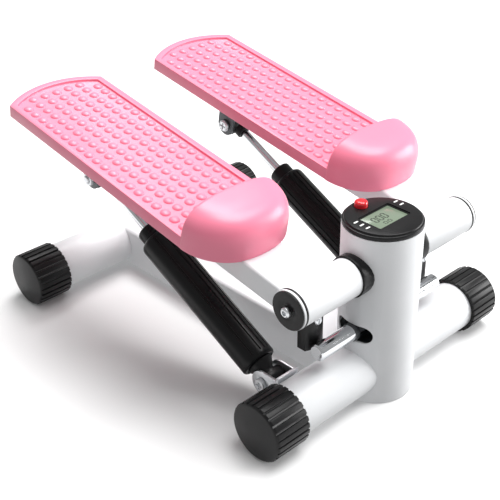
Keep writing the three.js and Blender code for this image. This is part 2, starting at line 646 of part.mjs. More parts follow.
function boltNut(name, side) {
  const seat = EAR_OUTER + WELD_GAP;
  const whole = nut(NUT_FLATS, BOLT_R + WELD_GAP, 'x', -seat - NUT_THICK, -seat);
  return part(name, side < 0 ? whole.mirror([1, 0, 0]) : whole, zincSteel);
}

// ---- cylinder -----------------------------------------------------------------------------

const tilt = THREE.MathUtils.degToRad(PEDAL_TILT);
const ROD_PIVOT_Y = ROD_PIVOT_S * Math.cos(tilt) - ROD_PIVOT_N * Math.sin(tilt);
const ROD_PIVOT_Z = PIVOT_Z + ROD_PIVOT_S * Math.sin(tilt) + ROD_PIVOT_N * Math.cos(tilt);
const ROD_LENGTH = Math.hypot(ROD_PIVOT_Y - LOWER_BOLT_BEHIND, ROD_PIVOT_Z - LOWER_BOLT_Z);
const CYLINDER_TILT = Math.atan2(ROD_PIVOT_Z - LOWER_BOLT_Z, ROD_PIVOT_Y - LOWER_BOLT_BEHIND);
const COVER_END_T = COVER_START_T + COVER_LENGTH;
const CYLINDER_R = COVER_R - COVER_WALL - WELD_GAP;
const CYLINDER_BORE_R = CYLINDER_R - CYLINDER_WALL;
const CYLINDER_TOP_T = COVER_END_T - 3;
const GLAND_R = CYLINDER_BORE_R - GLAND_CLEARANCE;

function flutedOutline() {
  const shape = new THREE.Shape();
  const pitch = 2 * Math.PI / COVER_FLUTES;
  const grooveR = COVER_R - COVER_FLUTE_DEPTH;
  for (let i = 0; i < COVER_FLUTES; i += 1) {
    const steps = [[COVER_R, -0.38], [COVER_R, 0.38], [grooveR, 0.5]];
    for (const [r, turn] of steps) {
      const angle = (i + turn) * pitch;
      const [x, y] = [r * Math.cos(angle), r * Math.sin(angle)];
      if (i === 0 && turn < 0) shape.moveTo(x, y);
      else shape.lineTo(x, y);
    }
  }
  return shape;
}

function cylinderCover(name) {
  const fluted = prism(flutedOutline(), 'y', COVER_START_T, COVER_END_T);
  const bore = bar(COVER_R - COVER_WALL, 'y', COVER_START_T - 1, CYLINDER_TOP_T + WELD_GAP);
  const mouth = bar(GLAND_R + WELD_GAP, 'y', CYLINDER_TOP_T, COVER_END_T + 1);
  return part(name, fluted.subtract(bore).subtract(mouth), blackPlastic);
}

function cylinderTube(name) {
  const start = COVER_START_T + WELD_GAP + 1;
  return part(name, turned([
    [0, start], [CYLINDER_R, start], [CYLINDER_R, CYLINDER_TOP_T],
    [CYLINDER_BORE_R, CYLINDER_TOP_T], [CYLINDER_BORE_R, start + 3], [0, start + 3],
  ], 'y'), greySteel);
}

function cylinderGland(name) {
  const end = COVER_END_T + GLAND_PROUD;
  return part(name, turned([
    [ROD_R + RUN_GAP, CYLINDER_TOP_T - GLAND_INSET], [GLAND_R, CYLINDER_TOP_T - GLAND_INSET],
    [GLAND_R, end - 1.5], [GLAND_R - 1.5, end], [ROD_R + RUN_GAP, end],
  ], 'y'), blackPlastic);
}

function lowerEye(name) {
  const eye = bar(LOWER_EYE_R, 'x', -EYE_HALF_LENGTH, EYE_HALF_LENGTH);
  const neckEnd = COVER_START_T + 1;
  const neck = turned([
    [0, 0], [LOWER_EYE_R - 1, 0], [LOWER_EYE_R - 1, LOWER_EYE_R],
    [CYLINDER_R - 2, neckEnd - 3], [CYLINDER_R - 2, neckEnd], [0, neckEnd],
  ], 'y');
  const bore = bar(BOLT_R + RUN_GAP, 'x', -CUT_REACH, CUT_REACH, SMALL);
  return part(name, eye.add(neck).subtract(bore), blackRubber);
}

function pistonRod(name) {
  const end = ROD_LENGTH - UPPER_EYE_R + 1;
  const pistonR = CYLINDER_BORE_R - RUN_GAP;
  return part(name, turned([
    [0, PISTON_T], [pistonR, PISTON_T], [pistonR, PISTON_T + PISTON_LENGTH],
    [ROD_R, PISTON_T + PISTON_LENGTH], [ROD_R, end], [0, end],
  ], 'y'), chrome);
}

function rodEye(name) {
  const eye = bar(UPPER_EYE_R, 'x', -EYE_HALF_LENGTH, EYE_HALF_LENGTH);
  const socket = turned([
    [0, -EYE_SOCKET_LENGTH - 1], [EYE_SOCKET_R - 1, -EYE_SOCKET_LENGTH - 1],
    [EYE_SOCKET_R, -EYE_SOCKET_LENGTH], [EYE_SOCKET_R, 0], [0, 0],
  ], 'y');
  const bore = bar(BOLT_R + OPEN_PIVOT_GAP, 'x', -CUT_REACH, CUT_REACH, SMALL);
  const rodHole = bar(ROD_R + WELD_GAP, 'y', -ROD_LENGTH, 1 - UPPER_EYE_R + WELD_GAP, SMALL);
  const whole = eye.add(socket).subtract(bore).subtract(rodHole);
  return part(name, whole.translate([0, ROD_LENGTH, 0]), blackRubber);
}

// ---- rocker -------------------------------------------------------------------------------

const HUB_BOTTOM = ROCKER_Z - ROCKER_HUB_HEIGHT / 2;
const HUB_TOP = ROCKER_Z + ROCKER_HUB_HEIGHT / 2;
const SHELF_TOP = HUB_BOTTOM - 1;

function rockerAssembly() {
  const group = new THREE.Group();
  const pinHole = bar(ROCKER_PIN_R + RUN_GAP, 'z', HUB_BOTTOM - 1, HUB_TOP + 1, SMALL);
  const rod = turned([
    [0, -ROCKER_HALF_LENGTH], [ROCKER_R - 0.8, -ROCKER_HALF_LENGTH],
    [ROCKER_R, -ROCKER_HALF_LENGTH + 0.8], [ROCKER_R, ROCKER_HALF_LENGTH - 0.8],
    [ROCKER_R - 0.8, ROCKER_HALF_LENGTH], [0, ROCKER_HALF_LENGTH],
  ], 'x').translate([0, 0, ROCKER_Z]);
  group.add(part('rocker_bar', rod.subtract(pinHole), chrome));
  const barHole = bar(ROCKER_R + WELD_GAP, 'x', -CUT_REACH, CUT_REACH).translate([0, 0, ROCKER_Z]);
  const hub = bar(ROCKER_HUB_R, 'z', HUB_BOTTOM, HUB_TOP);
  group.add(part('rocker_hub', hub.subtract(barHole).subtract(pinHole), blackPlastic));
  return group;
}

function rockerShelf() {
  const bottom = SHELF_TOP - SHELF_THICK;
  const plate = bar(COLUMN_R - COLUMN_WALL - WELD_GAP, 'z', bottom, SHELF_TOP, LARGE);
  const hole = bar(ROCKER_PIN_R + WELD_GAP, 'z', bottom - 1, SHELF_TOP + 1, SMALL);
  return part('rocker_shelf', plate.subtract(hole), greySteel);
}

function rockerPin() {
  const seat = HUB_TOP + WELD_GAP;
  const bottom = SHELF_TOP - SHELF_THICK;
  return part('rocker_pin', turned([
    [0, bottom], [ROCKER_PIN_R, bottom], [ROCKER_PIN_R, seat], [ROCKER_PIN_HEAD_R, seat],
    [ROCKER_PIN_HEAD_R, seat + ROCKER_PIN_HEAD - 1], [ROCKER_PIN_HEAD_R - 1, seat + ROCKER_PIN_HEAD],
    [0, seat + ROCKER_PIN_HEAD],
  ], 'z', SMALL), zincSteel);
}

// ---- console ------------------------------------------------------------------------------

const RIM_BOTTOM = COLUMN_TOP + WELD_GAP;
const CONSOLE_TOP = RIM_BOTTOM + CONSOLE_RIM_HEIGHT + CONSOLE_TOP_STEP;
const PLATE_UNDER = CONSOLE_TOP - CONSOLE_PLATE;
const SKIRT_R = COLUMN_R - COLUMN_WALL - WELD_GAP;
const SKIRT_BOTTOM = RIM_BOTTOM - CONSOLE_SKIRT;
const LENS_TOP = CONSOLE_TOP - LCD_RECESS;
const BOARD_TOP = PLATE_UNDER - BOARD_DROP;

function consoleHousing() {
  const shell = turned([
    [0, CONSOLE_TOP], [CONSOLE_TOP_R - 0.8, CONSOLE_TOP], [CONSOLE_TOP_R, CONSOLE_TOP - 0.8],
    [CONSOLE_TOP_R, CONSOLE_TOP - CONSOLE_TOP_STEP], [CONSOLE_RIM_R - 1, CONSOLE_TOP - CONSOLE_TOP_STEP],
    [CONSOLE_RIM_R, CONSOLE_TOP - CONSOLE_TOP_STEP - 1], [CONSOLE_RIM_R, RIM_BOTTOM],
    [SKIRT_R, RIM_BOTTOM], [SKIRT_R, SKIRT_BOTTOM], [SKIRT_R - CONSOLE_WALL, SKIRT_BOTTOM],
    [SKIRT_R - CONSOLE_WALL, PLATE_UNDER], [0, PLATE_UNDER],
  ], 'z', LARGE);
  const window = block(
    LCD_WIDTH - 2 * LENS_LEDGE, LCD_DEPTH - 2 * LENS_LEDGE, 20, 0, 0, CONSOLE_TOP);
  const seatDepth = LCD_RECESS + LENS_THICK + WELD_GAP;
  const seat = block(LCD_WIDTH, LCD_DEPTH, 2 * seatDepth, 0, 0, CONSOLE_TOP);
  const buttonHole = bar(BUTTON_R + RUN_GAP, 'z', PLATE_UNDER - 1, CONSOLE_TOP + 1);
  return part('console_housing',
    shell.subtract(window).subtract(seat).subtract(buttonHole.translate([0, BUTTON_Y, 0])), blackPlastic);
}

function consoleInside() {
  const group = new THREE.Group();
  const lens = block(
    LCD_WIDTH - 2 * WELD_GAP, LCD_DEPTH - 2 * WELD_GAP, LENS_THICK, 0, 0, LENS_TOP - LENS_THICK / 2);
  group.add(part('lcd_window', lens, lensPlastic));
  const panelTop = PLATE_UNDER - WELD_GAP;
  const panel = block(LCD_WIDTH, LCD_DEPTH, LCD_PANEL_THICK, 0, 0, panelTop - LCD_PANEL_THICK / 2);
  group.add(part('lcd_panel', panel, displayGlass));
  const board = bar(SKIRT_R - CONSOLE_WALL - WELD_GAP, 'z', BOARD_TOP - BOARD_THICK, BOARD_TOP);
  const stemBottom = PLATE_UNDER - BUTTON_FLANGE_THICK - BUTTON_TRAVEL - 2;
  const switchTop = stemBottom - BUTTON_TRAVEL - WELD_GAP;
  const switchBody = block(
    SWITCH_SIZE, SWITCH_SIZE, switchTop - BOARD_TOP + 1, 0, BUTTON_Y, (switchTop + BOARD_TOP - 1) / 2);
  group.add(part('circuit_board', board.add(switchBody), boardGreen));
  const coinTop = BOARD_TOP - BOARD_THICK - WELD_GAP;
  group.add(part('coin_cell', bar(COIN_R, 'z', coinTop - COIN_THICK, coinTop), zincSteel));
  const trayTop = SKIRT_BOTTOM - WELD_GAP;
  group.add(part('console_tray', bar(SKIRT_R, 'z', trayTop - TRAY_THICK, trayTop), blackPlastic));
  const button = turned([
    [0, stemBottom], [BUTTON_STEM_R, stemBottom],
    [BUTTON_STEM_R, PLATE_UNDER - WELD_GAP - BUTTON_FLANGE_THICK],
    [BUTTON_R + BUTTON_FLANGE, PLATE_UNDER - WELD_GAP - BUTTON_FLANGE_THICK],
    [BUTTON_R + BUTTON_FLANGE, PLATE_UNDER - WELD_GAP], [BUTTON_R, PLATE_UNDER - WELD_GAP],
    [BUTTON_R, CONSOLE_TOP + BUTTON_HEIGHT * 0.45],
    [BUTTON_R * 0.86, CONSOLE_TOP + BUTTON_HEIGHT * 0.75],
    [BUTTON_R * 0.5, CONSOLE_TOP + BUTTON_HEIGHT * 0.95], [0, CONSOLE_TOP + BUTTON_HEIGHT],
  ], 'z');
  group.add(part('reset_button', button.translate([0, BUTTON_Y, 0]), redPlastic));
  return group;
}

// ---- assembly -----------------------------------------------------------------------------

function pedalSide(sideName, side) {
  const group = new THREE.Group();
  group.position.set(0, 0, PIVOT_Z);
  group.add(pivotSleeve(`${sideName}_pivot_sleeve`, side));
  const strike = new THREE.Group();
  strike.position.x = side * STRIKER_X;
  strike.add(striker(`${sideName}_striker`));
  strike.add(strikerScrew(`${sideName}_striker_screw`));
  group.add(strike);
  const board = new THREE.Group();
  board.position.x = side * PEDAL_X;
  board.rotation.x = tilt;
  board.add(pedalArm(`${sideName}_pedal_arm`));
  board.add(pedalTread(`${sideName}_pedal_tread`));
  const hanger = new THREE.Group();
  hanger.position.set(0, ROD_PIVOT_S, ROD_PIVOT_N);
  const ears = earPair(BRACKET_EAR_R, -ROD_PIVOT_N - ARM_HEIGHT / 2 - WELD_GAP, BRACKET_BASE_LENGTH);
  const bracket = part(`${sideName}_rod_bracket`, ears, greySteel);
  bracket.rotation.x = -Math.PI / 2;
  hanger.add(bracket);
  hanger.add(bolt(`${sideName}_rod_bolt`, -side));
  hanger.add(boltNut(`${sideName}_rod_nut`, -side));
  board.add(hanger);
  group.add(board);
  return group;
}

function cylinderSide(sideName, side) {
  const group = new THREE.Group();
  group.position.set(side * PEDAL_X, LOWER_BOLT_BEHIND, LOWER_BOLT_Z);
  const base = LOWER_BOLT_BEHIND - TUBE_R - WELD_GAP;
  const clevis = earPair(CLEVIS_EAR_R, base, CLEVIS_BASE_HEIGHT);
  group.add(part(`${sideName}_clevis`, clevis, zincSteel));
  group.add(bolt(`${sideName}_clevis_bolt`, side));
  group.add(boltNut(`${sideName}_clevis_nut`, side));
  const strut = new THREE.Group();
  strut.rotation.x = CYLINDER_TILT;
  strut.add(lowerEye(`${sideName}_cylinder_eye`));
  strut.add(cylinderTube(`${sideName}_cylinder_tube`));
  strut.add(cylinderCover(`${sideName}_cylinder_cover`));
  strut.add(cylinderGland(`${sideName}_cylinder_gland`));
  strut.add(pistonRod(`${sideName}_piston_rod`));
  strut.add(rodEye(`${sideName}_rod_eye`));
  group.add(strut);
  return group;
}

const SIDES = [['right', -1], ['left', 1]];
const pedalRearY = (PEDAL_CORNER_S + PEDAL_BULGE) * Math.cos(tilt)
  - (PEDAL_TOP_N - PEDAL_DEPTH) * Math.sin(tilt);
const boxRear = Math.max(BASE_LENGTH + CAP_R, pedalRearY);

const stepper = new THREE.Group();
stepper.position.y = -(boxRear - COLUMN_R) / 2;
stepper.add(crossAssembly('front', 0, FRONT_HALF_WIDTH, FRONT_TUBE_END));
stepper.add(crossAssembly('rear', BASE_LENGTH, REAR_HALF_WIDTH, REAR_TUBE_END));
stepper.add(spineBeam());
stepper.add(columnTube());
stepper.add(rockerShelf());
stepper.add(rockerPin());
stepper.add(rockerAssembly());
stepper.add(consoleHousing());
stepper.add(consoleInside());
const axle = new THREE.Group();
axle.position.z = PIVOT_Z;
axle.add(axleShaft());
for (const [sideName, side] of SIDES) {
  const end = axleEnd(sideName);
  if (side < 0) end.rotation.z = Math.PI;
  axle.add(end);
  axle.add(axleBush(`${sideName}_axle_bush`, side));
  stepper.add(pedalSide(sideName, side));
  stepper.add(cylinderSide(sideName, side));
}
stepper.add(axle);

const root = new THREE.Group();
root.add(stepper);

export default root;
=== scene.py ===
# %% [markdown]
# # A mini air stepper
# Two pink pedals swing on one axle, each held up by an air cylinder, and a rocker bar makes one
# rise as the other sinks. This lesson loads the stepper's exact CAD frame, which fixes every size,
# and builds its looks round it: fine shapes, then finishes, then light and a camera.

# %% Load the frame
import json
import math

import bmesh
import bpy
from mathutils import Matrix, Vector


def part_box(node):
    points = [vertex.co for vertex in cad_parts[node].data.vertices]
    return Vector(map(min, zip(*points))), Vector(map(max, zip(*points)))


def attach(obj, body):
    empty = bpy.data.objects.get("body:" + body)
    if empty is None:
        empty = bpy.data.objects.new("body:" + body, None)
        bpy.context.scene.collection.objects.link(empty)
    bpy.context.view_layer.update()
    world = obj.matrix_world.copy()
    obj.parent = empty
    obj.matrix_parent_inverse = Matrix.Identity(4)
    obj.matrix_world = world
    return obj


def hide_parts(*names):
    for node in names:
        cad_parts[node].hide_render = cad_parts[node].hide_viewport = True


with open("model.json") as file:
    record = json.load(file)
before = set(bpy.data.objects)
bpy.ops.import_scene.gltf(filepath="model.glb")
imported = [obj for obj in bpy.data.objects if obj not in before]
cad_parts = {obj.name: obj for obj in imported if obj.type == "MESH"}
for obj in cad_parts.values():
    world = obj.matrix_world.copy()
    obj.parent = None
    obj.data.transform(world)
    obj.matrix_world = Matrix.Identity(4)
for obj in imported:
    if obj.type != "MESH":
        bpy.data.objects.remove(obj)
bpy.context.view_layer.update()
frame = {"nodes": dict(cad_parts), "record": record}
bodies = frame["record"]["behaviour"]["bodies"]
body_of = {node: body for body, nodes in bodies.items() for node in nodes}
slot_of = {row["node"]: row["material_slot"] for row in frame["record"]["subparts"]}

# %% [markdown]
# Sizes are in millimetres, as on a maker's drawing, and `MM` turns them to Blender's metres. The
# places come from the frame: the column's axis, the axle's height and the rods' line. The user
# faces -Y, so the user's right is -X.

# %% Shared sizes
MM = 0.001


def middle(node, axis):
    low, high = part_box(node)
    return (low[axis] + high[axis]) / 2


COLUMN_Y = middle("column_tube", 1)
AXLE_Z = middle("axle_shaft", 2)
FRONT_Y = middle("front_cross_tube", 1)
REAR_Y = middle("rear_cross_tube", 1)
CROSS_Z = middle("front_cross_tube", 2)
PEDAL_X = middle("left_pedal_arm", 0)
PEDAL_TILT = math.radians(10)
BOLT_Y = middle("left_clevis_bolt", 1)
BOLT_Z = middle("left_clevis_bolt", 2)
EYE_Y = middle("left_rod_bolt", 1)
EYE_Z = middle("left_rod_bolt", 2)
CYLINDER_TILT = math.atan2(EYE_Z - BOLT_Z, EYE_Y - BOLT_Y)
print("axle height", round(AXLE_Z, 4), "cylinder tilt", round(math.degrees(CYLINDER_TILT), 2))

# %% [markdown]
# ## Camera
# The camera stands high in front of the right pedal and looks down the machine. A long lens keeps
# the far pedal nearly as large as the near one. The small roll is part of the view.

# %% Camera
CAMERA_PLACE = Vector((-0.6319, -0.6690, 0.6233))
CAMERA_RIGHT = Vector((0.72126, -0.69253, -0.01357))
CAMERA_UP = Vector((0.36277, 0.36098, 0.85912))
LENS = 72.75

camera_data = bpy.data.cameras.new("Camera")
camera_data.lens = LENS
camera_data.sensor_width = 36
camera = bpy.data.objects.new("Camera", camera_data)
bpy.context.scene.collection.objects.link(camera)
camera_back = CAMERA_RIGHT.cross(CAMERA_UP)
camera.matrix_world = Matrix.Translation(CAMERA_PLACE) @ Matrix(
    (CAMERA_RIGHT, CAMERA_UP, camera_back)).transposed().to_4x4()
bpy.context.scene.camera = camera
print("camera at", tuple(round(v, 3) for v in camera.location), "lens", LENS)

# %% [markdown]
# ## Colours and node helper
# A hex colour is in sRGB and a shader wants linear light, so one function turns it. Another small
# function adds a shader node with its settings and its links.

# %% Helpers for materials


def linear(hex_colour):
    def channel(pair):
        value = int(pair, 16) / 255
        return value / 12.92 if value <= 0.04045 else ((value + 0.055) / 1.055) ** 2.4

    digits = hex_colour.lstrip("#")
    return tuple(channel(digits[i:i + 2]) for i in (0, 2, 4)) + (1.0,)


def add_node(tree, kind, settings=None, inputs=None, links=()):
    node = tree.nodes.new(kind)
    for name, value in (settings or {}).items():
        setattr(node, name, value)
    for name, value in (inputs or {}).items():
        node.inputs[name].default_value = value
    for socket, source in links:
        tree.links.new(source, node.inputs[socket])
    return node


def grain_scale(size_mm):
    """Noise scale whose features are about that size."""
    return 1 / (size_mm * MM)


print("white paint in linear light:", [round(v, 3) for v in linear("#F4F5F6")])

# %% [markdown]
# ## Finishes
# Every surface here is painted, moulded, plated or polished, so they share one recipe: a base
# colour that drifts a little, a roughness that varies, and a fine bump for the grain. What changes
# from one to the next is what the real process leaves: orange peel on powder coat, spark-eroded
# grain on moulded plastic, a faint grey cloud on zinc, almost nothing on chrome.

# %% One recipe for a finish


def surface(name, colour, second, roughness, spread, grain_mm, grain_depth_mm,
            cloud_mm=30, metallic=0.0, coat=0.0, coat_roughness=0.1, ior=1.5):
    """A finish: two close colours in a soft cloud, varied roughness, and a grain of a real size."""
    made = bpy.data.materials.new(name)
    made.use_nodes = True
    tree = made.node_tree
    tree.nodes.clear()
    place = add_node(tree, "ShaderNodeTexCoord")
    cloud = add_node(tree, "ShaderNodeTexNoise", inputs={
        "Scale": grain_scale(cloud_mm), "Detail": 3.0, "Roughness": 0.55},
        links=[("Vector", place.outputs["Object"])])
    tone = add_node(tree, "ShaderNodeMix", {"data_type": "RGBA"})
    tree.links.new(cloud.outputs["Fac"], tone.inputs[0])
    tone.inputs[6].default_value = linear(colour)
    tone.inputs[7].default_value = linear(second)
    gloss = add_node(tree, "ShaderNodeMapRange", inputs={
        "From Min": 0.3, "From Max": 0.7,
        "To Min": roughness - spread, "To Max": roughness + spread},
        links=[("Value", cloud.outputs["Fac"])])
    grain = add_node(tree, "ShaderNodeTexNoise", inputs={
        "Scale": grain_scale(grain_mm), "Detail": 2.0, "Roughness": 0.5},
        links=[("Vector", place.outputs["Object"])])
    bump = add_node(tree, "ShaderNodeBump", inputs={
        "Strength": 1.0, "Distance": grain_depth_mm * MM},
        links=[("Height", grain.outputs["Fac"])])
    shader = add_node(tree, "ShaderNodeBsdfPrincipled", inputs={
        "Metallic": metallic, "Coat Weight": coat, "Coat Roughness": coat_roughness, "IOR": ior},
        links=[("Base Color", tone.outputs[2]), ("Roughness", gloss.outputs["Result"]),
               ("Normal", bump.outputs["Normal"])])
    add_node(tree, "ShaderNodeOutputMaterial", links=[("Surface", shader.outputs["BSDF"])])
    return made


# Powder coat on steel: fused powder leaves an orange peel 1 to 2 mm across.
POWDER_COAT = surface("white_powder_coat", "#F3F4F6", "#ECEEF0", 0.38, 0.06, 1.4, 0.05)
# Injection-moulded ABS in pink: a soft gloss with a very fine spark-eroded grain.
PINK_ABS = surface("pink_moulded_abs", "#FA8CA6", "#F7829E", 0.36, 0.05, 1.6, 0.03,
                   coat=0.15, coat_roughness=0.25)
# Glass-filled nylon, black: moulded, slightly shiny.
BLACK_NYLON = surface("black_moulded_nylon", "#0D0D0E", "#131314", 0.32, 0.06, 0.9, 0.03, ior=1.3)
# Hard rubber, black: duller, with a dusty cloud.
BLACK_RUBBER = surface("black_moulded_rubber", "#101011", "#161617", 0.36, 0.07, 1.1, 0.05, ior=1.33)
# Zinc plate on steel: bright and slightly cloudy.
ZINC_PLATE = surface("zinc_plated_steel", "#E2E4E6", "#CFD2D5", 0.4, 0.08, 0.8, 0.02,
                     cloud_mm=5, metallic=1.0)
# Hard chrome on a ground rod: a mirror with a trace of grinding.
HARD_CHROME = surface("hard_chrome", "#DADCDE", "#CFD2D5", 0.1, 0.03, 3.0, 0.002,
                      cloud_mm=12, metallic=1.0)
# Dark grey painted steel, satin.
GREY_PAINT = surface("dark_grey_painted_steel", "#55585A", "#4A4D50", 0.4, 0.08, 1.0, 0.04,
                     metallic=0.6)
# Polished red ABS of the button.
RED_ABS = surface("red_polished_abs", "#DC1E28", "#D01822", 0.22, 0.03, 2.0, 0.01,
                  coat=0.4, coat_roughness=0.08)
# Liquid-crystal display seen through its clear window.
LCD_GLASS = surface("lcd_under_clear_window", "#7C8A77", "#74826F", 0.2, 0.03, 3.0, 0.004,
                    coat=0.3, coat_roughness=0.05)
# Dark liquid-crystal segments.
LCD_INK = surface("lcd_segments", "#333B30", "#2D352A", 0.4, 0.03, 2.0, 0.004)
# White pad-printed marks.
PRINT_WHITE = surface("white_pad_print", "#F6F6F4", "#EEEEEC", 0.5, 0.04, 0.6, 0.01)
# Solder mask over glass-fibre board.
BOARD_GREEN = surface("green_solder_mask", "#1F5A38", "#1A4F31", 0.35, 0.05, 0.8, 0.02)

BY_SLOT = {
    "white_paint": POWDER_COAT, "pink_plastic": PINK_ABS, "black_plastic": BLACK_NYLON,
    "black_rubber": BLACK_RUBBER, "zinc_steel": ZINC_PLATE, "chrome": HARD_CHROME,
    "dark_steel": GREY_PAINT, "red_plastic": RED_ABS, "lens_plastic": LCD_GLASS,
    "display": LCD_GLASS, "circuit_board": BOARD_GREEN,
}
print("finishes", len(bpy.data.materials))

# %% [markdown]
# ## The frame's own nodes
# Small hardware keeps its CAD shape. A Weld modifier joins the loose triangles, a narrow Bevel
# breaks the sharp edges as plating and tumbling do, and smooth shading hides the facets.

# %% Finish the CAD nodes
NODE_BEVEL = {"zinc_steel": 0.3, "dark_steel": 0.3, "chrome": 0.3, "circuit_board": 0.15,
              "display": 0.15, "lens_plastic": 0.15}
for name, node in frame["nodes"].items():
    slot = slot_of[name]
    node.data.materials.clear()
    node.data.materials.append(BY_SLOT[slot])
    weld = node.modifiers.new("Weld", "WELD")
    weld.merge_threshold = 0.002 * MM
    edge = node.modifiers.new("Broken edges", "BEVEL")
    moulded = "striker" in name and "screw" not in name
    edge.width = (3.0 if moulded else NODE_BEVEL.get(slot, 0.4)) * MM
    edge.segments = 4 if moulded else 2
    edge.limit_method = "ANGLE"
    edge.angle_limit = math.radians(40)
    edge.harden_normals = True
    for polygon in node.data.polygons:
        polygon.use_smooth = True
print("finished", len(frame["nodes"]), "CAD nodes")

# %% [markdown]
# ## Modelling helpers
# Each new piece starts as a primitive and is shaped in edit mode. These helpers do what a modeller
# does between steps: clear the selection, pick faces by place, apply a modifier, settle the piece's
# place into its mesh, and hand it to its body.

# %% Helpers for shaping


def clear_selection():
    if bpy.context.object and bpy.context.object.mode != "OBJECT":
        bpy.ops.object.mode_set(mode="OBJECT")
    bpy.ops.object.select_all(action="DESELECT")


def use(piece):
    clear_selection()
    piece.select_set(True)
    bpy.context.view_layer.objects.active = piece


def named(name):
    """Names the primitive that was just added."""
    piece = bpy.context.object
    piece.name = piece.data.name = name
    return piece


def edit(piece, mode="FACE"):
    use(piece)
    bpy.ops.object.mode_set(mode="EDIT")
    bpy.ops.mesh.select_mode(type=mode)
    bpy.ops.mesh.select_all(action="DESELECT")


def done():
    bpy.ops.object.mode_set(mode="OBJECT")


def pick_faces(piece, test):
    """Selects the faces whose centre and normal pass the test, and tells how many."""
    mesh = bmesh.from_edit_mesh(piece.data)
    bpy.ops.mesh.select_all(action="DESELECT")
    count = 0
    for face in mesh.faces:
        if test(face.calc_center_median(), face.normal):
            face.select_set(True)
            count += 1
    bmesh.update_edit_mesh(piece.data)
    return count


def pick_edges(piece, test):
    mesh = bmesh.from_edit_mesh(piece.data)
    bpy.ops.mesh.select_all(action="DESELECT")
    for line in mesh.edges:
        a, b = line.verts
        if test((a.co + b.co) / 2, (b.co - a.co).normalized()):
            line.select_set(True)
    bmesh.update_edit_mesh(piece.data)


def modify(piece, kind, **settings):
    use(piece)
    step = piece.modifiers.new(kind.title(), kind)
    for name, value in settings.items():
        setattr(step, name, value)
    bpy.ops.object.modifier_apply(modifier=step.name)


def cut(piece, cutter, operation="DIFFERENCE"):
    """Cuts or joins with a helper piece, which is then thrown away."""
    modify(piece, "BOOLEAN", object=cutter, operation=operation, solver="EXACT")
    bpy.data.objects.remove(cutter)


def settle(piece, place=(0, 0, 0), turn_x=0.0, turn_z=0.0):
    """Moves and turns a piece made at the origin, and writes the place into its mesh."""
    use(piece)
    piece.location = place
    piece.rotation_euler = (turn_x, 0, turn_z)
    bpy.ops.object.transform_apply(location=True, rotation=True, scale=True)


def round_edges(piece, width_mm, segments=3, angle=35):
    modify(piece, "BEVEL", width=width_mm * MM, segments=segments, limit_method="ANGLE",
           angle_limit=math.radians(angle), harden_normals=False)


def smooth(piece, angle=35):
    use(piece)
    bpy.ops.object.shade_smooth_by_angle(angle=math.radians(angle))


def hand_over(piece, finish, *nodes, body=None):
    """Gives the piece its finish and its body, and hides the CAD nodes it stands for."""
    piece.data.materials.clear()
    piece.data.materials.append(finish)
    if nodes:
        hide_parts(*nodes)
        body = body or body_of[nodes[0]]
    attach(piece, body)
    return piece


def mirrored(piece, name):
    """The same piece for the other side, with its own mesh."""
    use(piece)
    bpy.ops.object.duplicate(linked=False)
    twin = named(name)
    twin.scale.x = -1
    bpy.ops.object.transform_apply(location=True, rotation=True, scale=True)
    bpy.ops.object.mode_set(mode="EDIT")
    bpy.ops.mesh.select_all(action="SELECT")
    bpy.ops.mesh.flip_normals()
    bpy.ops.object.mode_set(mode="OBJECT")
    return twin


def rod(name, radius, low, high, axis="X", sides=96, ends="NGON"):
    """A round bar along an axis, in millimetres."""
    turn = {"X": (0, math.pi / 2, 0), "Y": (-math.pi / 2, 0, 0), "Z": (0, 0, 0)}[axis]
    place = {"X": ((low + high) / 2 * MM, 0, 0), "Y": (0, (low + high) / 2 * MM, 0),
             "Z": (0, 0, (low + high) / 2 * MM)}[axis]
    clear_selection()
    bpy.ops.mesh.primitive_cylinder_add(
        vertices=sides, radius=radius * MM, depth=(high - low) * MM, end_fill_type=ends,
        location=place, rotation=turn)
    piece = named(name)
    bpy.ops.object.transform_apply(location=True, rotation=True, scale=True)
    return piece


def bar_stock(name, low, high):
    """A block between two corners, in millimetres."""
    clear_selection()
    centre = [(a + b) / 2 * MM for a, b in zip(low, high)]
    bpy.ops.mesh.primitive_cube_add(size=1, location=centre)
    piece = named(name)
    piece.scale = [(b - a) * MM for a, b in zip(low, high)]
    bpy.ops.object.transform_apply(location=True, rotation=True, scale=True)
    return piece


def turned(name, profile, axis="X", steps=96):
    """A piece from the lathe: a point is drawn along the profile, then spun round the axis.
    The profile is pairs of (place along the axis, radius) in millimetres. If it doesn't start and
    end on the axis it is closed into a ring."""
    def point(along, radius):
        spot = {"X": (along, radius, 0), "Y": (0, along, radius), "Z": (radius, 0, along)}[axis]
        return Vector(spot) * MM

    points = [point(*pair) for pair in profile]
    if profile[0][1] > 0:
        points.append(points[0])
    clear_selection()
    bpy.ops.mesh.primitive_plane_add(size=1 * MM)
    piece = named(name)
    bpy.ops.object.mode_set(mode="EDIT")
    bpy.ops.mesh.select_mode(type="VERT")
    bpy.ops.mesh.select_all(action="SELECT")
    bpy.ops.mesh.merge(type="CENTER")
    bpy.ops.transform.translate(value=points[0])
    for before, after in zip(points, points[1:]):
        bpy.ops.mesh.extrude_region_move(TRANSFORM_OT_translate={"value": after - before})
    bpy.ops.mesh.select_all(action="SELECT")
    spin_axis = {"X": (1, 0, 0), "Y": (0, 1, 0), "Z": (0, 0, 1)}[axis]
    bpy.ops.mesh.spin(steps=steps, angle=2 * math.pi, center=(0, 0, 0), axis=spin_axis)
    bpy.ops.mesh.select_all(action="SELECT")
    bpy.ops.mesh.remove_doubles(threshold=0.001 * MM)
    bpy.ops.mesh.normals_make_consistent(inside=False)
    bpy.ops.object.mode_set(mode="OBJECT")
    return piece


print("helpers ready")

# %% [markdown]
# ## Cross tubes
# Two round steel tubes carry the machine. Each is a plain pipe, so it starts as an open cylinder
# and a Solidify modifier gives it a 2 mm wall.

